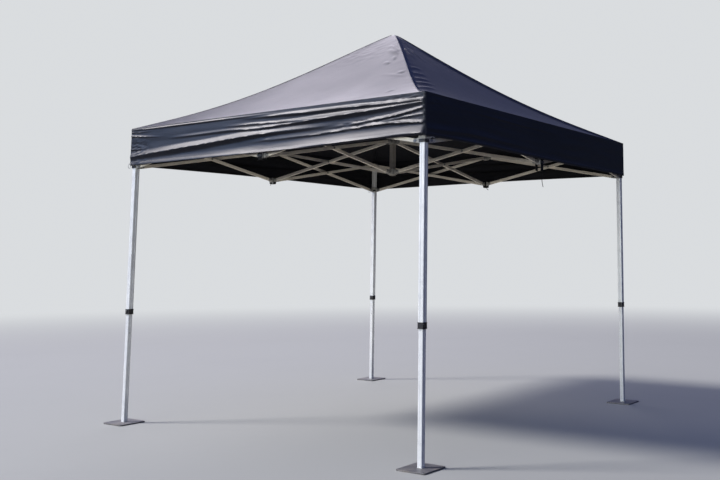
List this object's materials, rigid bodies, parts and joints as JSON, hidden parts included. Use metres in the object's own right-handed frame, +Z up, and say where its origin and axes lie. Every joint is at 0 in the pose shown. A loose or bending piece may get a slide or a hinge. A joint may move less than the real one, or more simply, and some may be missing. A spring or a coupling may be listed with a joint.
{
  "type": "folding canopy tent",
  "caption": "Square folding canopy tent with a pyramid roof, short valances, a scissor frame, telescoping legs and flat foot plates.",
  "frame": {"origin": "on the ground, under the mast", "axes": "+Z up, +X to the right and +Y to the back when the front side is faced from outside"},
  "size_m": [3.14, 3.14, 3.225],
  "materials": {
    "fabric": "black coated polyester, satin",
    "leg": "satin anodised",
    "bar": "satin, dull",
    "bracket": "moulded nylon",
    "lock": "moulded plastic",
    "plate": "worn grey paint"
  },
  "bodies": {
    "centre": {"mast": "leg", "hub_upper": "bracket", "roof": "fabric"},
    "front_arm_upper": {"front_arm_upper": "bar"},
    "front_arm_lower": {"front_arm_lower": "bar"},
    "front_mid_lower": {"front_mid_bracket_lower": "bracket"},
    "front_mid_upper": {"front_mid_bracket_upper": "bracket", "front_valance": "fabric"},
    "front_bar_rising_right": {"front_bar_rising_right": "bar"},
    "front_bar_falling_right": {"front_bar_falling_right": "bar"},
    "front_bar_rising_left": {"front_bar_rising_left": "bar"},
    "front_bar_falling_left": {"front_bar_falling_left": "bar"},
    "right_arm_upper": {"right_arm_upper": "bar"},
    "right_arm_lower": {"right_arm_lower": "bar"},
    "right_mid_lower": {"right_mid_bracket_lower": "bracket"},
    "right_mid_upper": {"right_mid_bracket_upper": "bracket", "right_valance": "fabric"},
    "right_bar_rising_right": {"right_bar_rising_right": "bar"},
    "right_bar_falling_right": {"right_bar_falling_right": "bar"},
    "right_bar_rising_left": {"right_bar_rising_left": "bar"},
    "right_bar_falling_left": {"right_bar_falling_left": "bar"},
    "back_arm_upper": {"back_arm_upper": "bar"},
    "back_arm_lower": {"back_arm_lower": "bar"},
    "back_mid_lower": {"back_mid_bracket_lower": "bracket"},
    "back_mid_upper": {"back_mid_bracket_upper": "bracket", "back_valance": "fabric"},
    "back_bar_rising_right": {"back_bar_rising_right": "bar"},
    "back_bar_falling_right": {"back_bar_falling_right": "bar"},
    "back_bar_rising_left": {"back_bar_rising_left": "bar"},
    "back_bar_falling_left": {"back_bar_falling_left": "bar"},
    "left_arm_upper": {"left_arm_upper": "bar"},
    "left_arm_lower": {"left_arm_lower": "bar"},
    "left_mid_lower": {"left_mid_bracket_lower": "bracket"},
    "left_mid_upper": {"left_mid_bracket_upper": "bracket", "left_valance": "fabric"},
    "left_bar_rising_right": {"left_bar_rising_right": "bar"},
    "left_bar_falling_right": {"left_bar_falling_right": "bar"},
    "left_bar_rising_left": {"left_bar_rising_left": "bar"},
    "left_bar_falling_left": {"left_bar_falling_left": "bar"},
    "hub_lower": {"hub_lower": "bracket"},
    "front_left_leg": {"front_left_outer_leg": "leg", "front_left_leg_lock": "lock"},
    "front_left_slider": {"front_left_leg_slider": "bracket"},
    "front_left_foot": {"front_left_inner_leg": "leg", "front_left_foot_plate": "plate"},
    "front_right_leg": {"front_right_outer_leg": "leg", "front_right_leg_lock": "lock"},
    "front_right_slider": {"front_right_leg_slider": "bracket"},
    "front_right_foot": {"front_right_inner_leg": "leg", "front_right_foot_plate": "plate"},
    "back_right_leg": {"back_right_outer_leg": "leg", "back_right_leg_lock": "lock"},
    "back_right_slider": {"back_right_leg_slider": "bracket"},
    "back_right_foot": {"back_right_inner_leg": "leg", "back_right_foot_plate": "plate"},
    "back_left_leg": {"back_left_outer_leg": "leg", "back_left_leg_lock": "lock"},
    "back_left_slider": {"back_left_leg_slider": "bracket"},
    "back_left_foot": {"back_left_inner_leg": "leg", "back_left_foot_plate": "plate"}
  },
  "joints": [
    {"name": "fold", "type": "hinge", "parent": "centre", "child": "front_arm_upper", "pos_m": [0, -0.055, 2.28], "axis": [1, 0, 0], "range_deg": [0, 72], "deforming": ["roof", "front_valance", "right_valance", "back_valance", "left_valance"]},
    {"name": "front_arm_cross", "type": "hinge", "parent": "front_arm_upper", "child": "front_arm_lower", "pos_m": [0, -0.7375, 2.1485], "axis": [-1, 0, 0], "range_deg": [0, 144]},
    {"name": "front_mid_lower_level", "type": "hinge", "parent": "front_arm_upper", "child": "front_mid_lower", "pos_m": [0, -1.42, 2.017], "axis": [-1, 0, 0], "range_deg": [0, 72]},
    {"name": "front_mid_upper_level", "type": "hinge", "parent": "front_arm_lower", "child": "front_mid_upper", "pos_m": [0, -1.42, 2.28], "axis": [1, 0, 0], "range_deg": [0, 72]},
    {"name": "front_bar_rising_right_fold", "type": "hinge", "parent": "front_mid_lower", "child": "front_bar_rising_right", "pos_m": [0.04, -1.46, 2.017], "axis": [0, -1, 0], "range_deg": [0, 72]},
    {"name": "front_bar_falling_right_cross", "type": "hinge", "parent": "front_bar_rising_right", "child": "front_bar_falling_right", "pos_m": [0.7225, -1.46, 2.1485], "axis": [0, 1, 0], "range_deg": [0, 144]},
    {"name": "front_bar_rising_left_fold", "type": "hinge", "parent": "front_mid_lower", "child": "front_bar_rising_left", "pos_m": [-0.04, -1.46, 2.017], "axis": [0, 1, 0], "range_deg": [0, 72]},
    {"name": "front_bar_falling_left_cross", "type": "hinge", "parent": "front_bar_rising_left", "child": "front_bar_falling_left", "pos_m": [-0.7225, -1.46, 2.1485], "axis": [0, -1, 0], "range_deg": [0, 144]},
    {"name": "right_arm_fold", "type": "hinge", "parent": "centre", "child": "right_arm_upper", "pos_m": [0.055, 0, 2.28], "axis": [0, 1, 0], "range_deg": [0, 72]},
    {"name": "right_arm_cross", "type": "hinge", "parent": "right_arm_upper", "child": "right_arm_lower", "pos_m": [0.7375, 0, 2.1485], "axis": [0, -1, 0], "range_deg": [0, 144]},
    {"name": "right_mid_lower_level", "type": "hinge", "parent": "right_arm_upper", "child": "right_mid_lower", "pos_m": [1.42, 0, 2.017], "axis": [0, -1, 0], "range_deg": [0, 72]},
    {"name": "right_mid_upper_level", "type": "hinge", "parent": "right_arm_lower", "child": "right_mid_upper", "pos_m": [1.42, 0, 2.28], "axis": [0, 1, 0], "range_deg": [0, 72]},
    {"name": "right_bar_rising_right_fold", "type": "hinge", "parent": "right_mid_lower", "child": "right_bar_rising_right", "pos_m": [1.46, 0.04, 2.017], "axis": [1, 0, 0], "range_deg": [0, 72]},
    {"name": "right_bar_falling_right_cross", "type": "hinge", "parent": "right_bar_rising_right", "child": "right_bar_falling_right", "pos_m": [1.46, 0.7225, 2.1485], "axis": [-1, 0, 0], "range_deg": [0, 144]},
    {"name": "right_bar_rising_left_fold", "type": "hinge", "parent": "right_mid_lower", "child": "right_bar_rising_left", "pos_m": [1.46, -0.04, 2.017], "axis": [-1, 0, 0], "range_deg": [0, 72]},
    {"name": "right_bar_falling_left_cross", "type": "hinge", "parent": "right_bar_rising_left", "child": "right_bar_falling_left", "pos_m": [1.46, -0.7225, 2.1485], "axis": [1, 0, 0], "range_deg": [0, 144]},
    {"name": "back_arm_fold", "type": "hinge", "parent": "centre", "child": "back_arm_upper", "pos_m": [0, 0.055, 2.28], "axis": [-1, 0, 0], "range_deg": [0, 72]},
    {"name": "back_arm_cross", "type": "hinge", "parent": "back_arm_upper", "child": "back_arm_lower", "pos_m": [0, 0.7375, 2.1485], "axis": [1, 0, 0], "range_deg": [0, 144]},
    {"name": "back_mid_lower_level", "type": "hinge", "parent": "back_arm_upper", "child": "back_mid_lower", "pos_m": [0, 1.42, 2.017], "axis": [1, 0, 0], "range_deg": [0, 72]},
    {"name": "back_mid_upper_level", "type": "hinge", "parent": "back_arm_lower", "child": "back_mid_upper", "pos_m": [0, 1.42, 2.28], "axis": [-1, 0, 0], "range_deg": [0, 72]},
    {"name": "back_bar_rising_right_fold", "type": "hinge", "parent": "back_mid_lower", "child": "back_bar_rising_right", "pos_m": [-0.04, 1.46, 2.017], "axis": [0, 1, 0], "range_deg": [0, 72]},
    {"name": "back_bar_falling_right_cross", "type": "hinge", "parent": "back_bar_rising_right", "child": "back_bar_falling_right", "pos_m": [-0.7225, 1.46, 2.1485], "axis": [0, -1, 0], "range_deg": [0, 144]},
    {"name": "back_bar_rising_left_fold", "type": "hinge", "parent": "back_mid_lower", "child": "back_bar_rising_left", "pos_m": [0.04, 1.46, 2.017], "axis": [0, -1, 0], "range_deg": [0, 72]},
    {"name": "back_bar_falling_left_cross", "type": "hinge", "parent": "back_bar_rising_left", "child": "back_bar_falling_left", "pos_m": [0.7225, 1.46, 2.1485], "axis": [0, 1, 0], "range_deg": [0, 144]},
    {"name": "left_arm_fold", "type": "hinge", "parent": "centre", "child": "left_arm_upper", "pos_m": [-0.055, 0, 2.28], "axis": [0, -1, 0], "range_deg": [0, 72]},
    {"name": "left_arm_cross", "type": "hinge", "parent": "left_arm_upper", "child": "left_arm_lower", "pos_m": [-0.7375, 0, 2.1485], "axis": [0, 1, 0], "range_deg": [0, 144]},
    {"name": "left_mid_lower_level", "type": "hinge", "parent": "left_arm_upper", "child": "left_mid_lower", "pos_m": [-1.42, 0, 2.017], "axis": [0, 1, 0], "range_deg": [0, 72]},
    {"name": "left_mid_upper_level", "type": "hinge", "parent": "left_arm_lower", "child": "left_mid_upper", "pos_m": [-1.42, 0, 2.28], "axis": [0, -1, 0], "range_deg": [0, 72]},
    {"name": "left_bar_rising_right_fold", "type": "hinge", "parent": "left_mid_lower", "child": "left_bar_rising_right", "pos_m": [-1.46, -0.04, 2.017], "axis": [-1, 0, 0], "range_deg": [0, 72]},
    {"name": "left_bar_falling_right_cross", "type": "hinge", "parent": "left_bar_rising_right", "child": "left_bar_falling_right", "pos_m": [-1.46, -0.7225, 2.1485], "axis": [1, 0, 0], "range_deg": [0, 144]},
    {"name": "left_bar_rising_left_fold", "type": "hinge", "parent": "left_mid_lower", "child": "left_bar_rising_left", "pos_m": [-1.46, 0.04, 2.017], "axis": [1, 0, 0], "range_deg": [0, 72]},
    {"name": "left_bar_falling_left_cross", "type": "hinge", "parent": "left_bar_rising_left", "child": "left_bar_falling_left", "pos_m": [-1.46, 0.7225, 2.1485], "axis": [-1, 0, 0], "range_deg": [0, 144]},
    {"name": "hub_lower_level", "type": "hinge", "parent": "front_arm_lower", "child": "hub_lower", "pos_m": [0, -0.055, 2.017], "axis": [1, 0, 0], "range_deg": [0, 72]},
    {"name": "front_left_leg_level", "type": "hinge", "parent": "front_bar_rising_left", "child": "front_left_leg", "pos_m": [-1.405, -1.46, 2.28], "axis": [0, -1, 0], "range_deg": [0, 72]},
    {"name": "front_left_slider_level", "type": "hinge", "parent": "front_bar_falling_left", "child": "front_left_slider", "pos_m": [-1.405, -1.46, 2.017], "axis": [0, 1, 0], "range_deg": [0, 72]},
    {"name": "front_left_leg_slide", "type": "slide", "parent": "front_left_leg", "child": "front_left_foot", "axis": [0, 0, 1], "range_m": [0, 0.8]},
    {"name": "front_right_leg_level", "type": "hinge", "parent": "right_bar_rising_left", "child": "front_right_leg", "pos_m": [1.46, -1.405, 2.28], "axis": [1, 0, 0], "range_deg": [0, 72]},
    {"name": "front_right_slider_level", "type": "hinge", "parent": "right_bar_falling_left", "child": "front_right_slider", "pos_m": [1.46, -1.405, 2.017], "axis": [-1, 0, 0], "range_deg": [0, 72]},
    {"name": "front_right_leg_slide", "type": "slide", "parent": "front_right_leg", "child": "front_right_foot", "axis": [0, 0, 1], "range_m": [0, 0.8]},
    {"name": "back_right_leg_level", "type": "hinge", "parent": "back_bar_rising_left", "child": "back_right_leg", "pos_m": [1.405, 1.46, 2.28], "axis": [0, 1, 0], "range_deg": [0, 72]},
    {"name": "back_right_slider_level", "type": "hinge", "parent": "back_bar_falling_left", "child": "back_right_slider", "pos_m": [1.405, 1.46, 2.017], "axis": [0, -1, 0], "range_deg": [0, 72]},
    {"name": "back_right_leg_slide", "type": "slide", "parent": "back_right_leg", "child": "back_right_foot", "axis": [0, 0, 1], "range_m": [0, 0.8]},
    {"name": "back_left_leg_level", "type": "hinge", "parent": "left_bar_rising_left", "child": "back_left_leg", "pos_m": [-1.46, 1.405, 2.28], "axis": [-1, 0, 0], "range_deg": [0, 72]},
    {"name": "back_left_slider_level", "type": "hinge", "parent": "left_bar_falling_left", "child": "back_left_slider", "pos_m": [-1.46, 1.405, 2.017], "axis": [1, 0, 0], "range_deg": [0, 72]},
    {"name": "back_left_leg_slide", "type": "slide", "parent": "back_left_leg", "child": "back_left_foot", "axis": [0, 0, 1], "range_m": [0, 0.8]}
  ],
  "couplings": [
    {"joint": "front_arm_cross", "follows": "fold", "ratio": 2},
    {"joint": "front_mid_lower_level", "follows": "fold", "ratio": 1},
    {"joint": "front_mid_upper_level", "follows": "fold", "ratio": 1},
    {"joint": "front_bar_rising_right_fold", "follows": "fold", "ratio": 1},
    {"joint": "front_bar_falling_right_cross", "follows": "fold", "ratio": 2},
    {"joint": "front_bar_rising_left_fold", "follows": "fold", "ratio": 1},
    {"joint": "front_bar_falling_left_cross", "follows": "fold", "ratio": 2},
    {"joint": "right_arm_fold", "follows": "fold", "ratio": 1},
    {"joint": "right_arm_cross", "follows": "fold", "ratio": 2},
    {"joint": "right_mid_lower_level", "follows": "fold", "ratio": 1},
    {"joint": "right_mid_upper_level", "follows": "fold", "ratio": 1},
    {"joint": "right_bar_rising_right_fold", "follows": "fold", "ratio": 1},
    {"joint": "right_bar_falling_right_cross", "follows": "fold", "ratio": 2},
    {"joint": "right_bar_rising_left_fold", "follows": "fold", "ratio": 1},
    {"joint": "right_bar_falling_left_cross", "follows": "fold", "ratio": 2},
    {"joint": "back_arm_fold", "follows": "fold", "ratio": 1},
    {"joint": "back_arm_cross", "follows": "fold", "ratio": 2},
    {"joint": "back_mid_lower_level", "follows": "fold", "ratio": 1},
    {"joint": "back_mid_upper_level", "follows": "fold", "ratio": 1},
    {"joint": "back_bar_rising_right_fold", "follows": "fold", "ratio": 1},
    {"joint": "back_bar_falling_right_cross", "follows": "fold", "ratio": 2},
    {"joint": "back_bar_rising_left_fold", "follows": "fold", "ratio": 1},
    {"joint": "back_bar_falling_left_cross", "follows": "fold", "ratio": 2},
    {"joint": "left_arm_fold", "follows": "fold", "ratio": 1},
    {"joint": "left_arm_cross", "follows": "fold", "ratio": 2},
    {"joint": "left_mid_lower_level", "follows": "fold", "ratio": 1},
    {"joint": "left_mid_upper_level", "follows": "fold", "ratio": 1},
    {"joint": "left_bar_rising_right_fold", "follows": "fold", "ratio": 1},
    {"joint": "left_bar_falling_right_cross", "follows": "fold", "ratio": 2},
    {"joint": "left_bar_rising_left_fold", "follows": "fold", "ratio": 1},
    {"joint": "left_bar_falling_left_cross", "follows": "fold", "ratio": 2},
    {"joint": "hub_lower_level", "follows": "fold", "ratio": 1},
    {"joint": "front_left_leg_level", "follows": "fold", "ratio": 1},
    {"joint": "front_left_slider_level", "follows": "fold", "ratio": 1},
    {"joint": "front_right_leg_level", "follows": "fold", "ratio": 1},
    {"joint": "front_right_slider_level", "follows": "fold", "ratio": 1},
    {"joint": "back_right_leg_level", "follows": "fold", "ratio": 1},
    {"joint": "back_right_slider_level", "follows": "fold", "ratio": 1},
    {"joint": "back_left_leg_level", "follows": "fold", "ratio": 1},
    {"joint": "back_left_slider_level", "follows": "fold", "ratio": 1}
  ]
}
